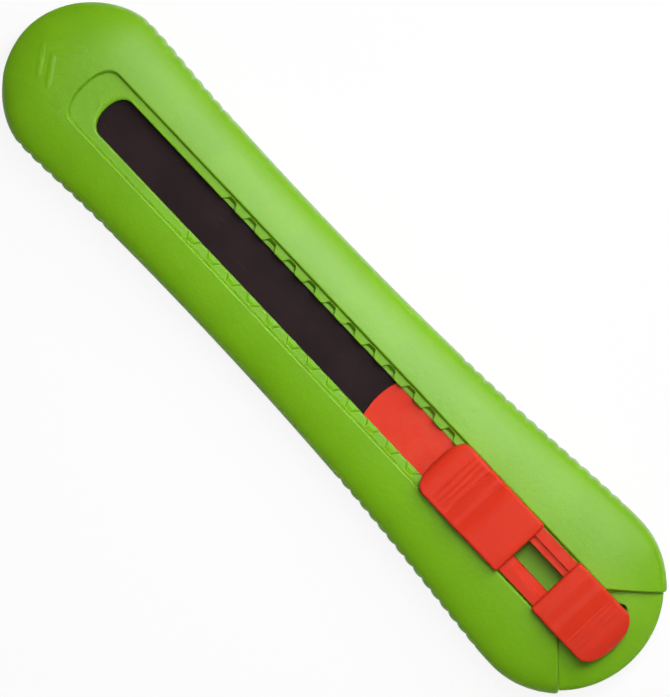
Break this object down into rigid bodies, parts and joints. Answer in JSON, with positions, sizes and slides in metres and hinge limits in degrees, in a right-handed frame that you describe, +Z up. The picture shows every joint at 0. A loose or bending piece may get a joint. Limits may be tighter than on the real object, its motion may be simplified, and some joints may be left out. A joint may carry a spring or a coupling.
{
  "type": "utility knife",
  "caption": "Hand-held knife with a waisted rounded body, a dark one-piece blade behind a long slot, a thumb slider that locks in side racks, and a pull-off end cap.",
  "frame": {"origin": "centre of the bounding box's underside: under the middle of the knife's length and width, on the plane of its flat back", "axes": "+X along the knife from the nose, where the blade comes out, to the end cap; +Z up, out of the front with the slot and the slider; +Y across, to the right when seen from the rear end with the front up"},
  "size_m": [0.16, 0.038, 0.017],
  "materials": {
    "green_plastic": "satin moulded plastic, lime green",
    "red_plastic": "smooth moulded plastic, orange red",
    "coated_blade": "matt dark non-stick coating on steel",
    "steel": "plain bright steel"
  },
  "bodies": {
    "handle": {"front_shell": "green_plastic", "back_shell": "green_plastic", "guide_tray": "green_plastic", "shell_screw_nose_left": "steel", "shell_screw_nose_right": "steel", "shell_screw_tail_left": "steel", "shell_screw_tail_right": "steel"},
    "slider": {"blade": "coated_blade", "blade_peg_front": "steel", "blade_peg_rear": "steel", "blade_carrier": "red_plastic", "slider_bridge": "red_plastic", "rear_pad": "red_plastic", "pivot_pin": "steel", "lock_spring": "steel", "slider_screw_front": "steel", "slider_screw_rear": "steel"},
    "lock_lever": {"lock_lever": "red_plastic"},
    "end_cap": {"end_cap": "green_plastic"}
  },
  "joints": [
    {"name": "slider_slide", "type": "slide", "parent": "handle", "child": "slider", "axis": [-1, 0, 0], "range_m": [0, 0.06324]},
    {"name": "lock_press", "type": "hinge", "parent": "slider", "child": "lock_lever", "pos_m": [0.04, 0, 0.0148], "axis": [0, 1, 0], "range_deg": [0, 5.5], "stiffness_Nm_per_rad": 0.1, "springref_deg": -2.86, "deforming": ["lock_spring"]},
    {"name": "cap_pull", "type": "slide", "parent": "handle", "child": "end_cap", "axis": [1, 0, 0], "range_m": [0, 0.03]}
  ]
}
